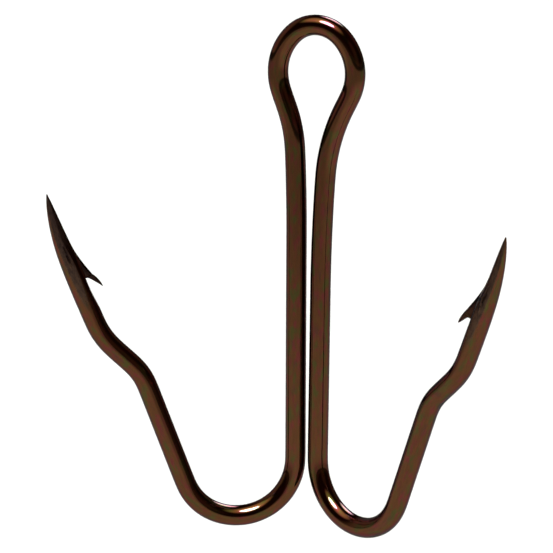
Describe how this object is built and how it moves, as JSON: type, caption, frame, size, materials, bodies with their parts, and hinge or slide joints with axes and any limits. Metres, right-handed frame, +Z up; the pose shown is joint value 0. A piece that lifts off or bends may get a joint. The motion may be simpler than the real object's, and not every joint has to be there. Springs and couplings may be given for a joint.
{
  "type": "double fishing hook",
  "caption": "Open-shank double fishing hook bent from round bronzed steel wire, with a tall oval eye, long close shanks, kinked arms and barbed points.",
  "frame": {"origin": "inside top of the eye, on the wire's surface, where a ring or the line bears", "axes": "+Z up along the shanks towards the top of the eye, the eye in the XZ plane, the hooks open to +X and -X and towards -Y"},
  "size_m": [0.0385, 0.0094, 0.0423],
  "materials": {
    "eye_loop_steel": "bronzed hook wire, dark brown, semi-gloss",
    "left_leg_steel": "bronzed hook wire, dark brown, semi-gloss, ground flats at the point",
    "right_leg_steel": "bronzed hook wire, dark brown, semi-gloss, ground flats at the point"
  },
  "bodies": {
    "eye_loop": {"eye_loop": "eye_loop_steel"},
    "left_leg": {"left_leg": "left_leg_steel"},
    "right_leg": {"right_leg": "right_leg_steel"}
  },
  "joints": [
    {"name": "left_leg_spring", "type": "hinge", "parent": "eye_loop", "child": "left_leg", "pos_m": [-0.00331, 0, -0.00321], "axis": [0, 1, 0], "range_deg": [-0.1, 4], "stiffness_Nm_per_rad": 0.05},
    {"name": "right_leg_spring", "type": "hinge", "parent": "eye_loop", "child": "right_leg", "pos_m": [0.00318, 0, -0.00295], "axis": [0, -1, 0], "range_deg": [-0.1, 4], "stiffness_Nm_per_rad": 0.05}
  ]
}
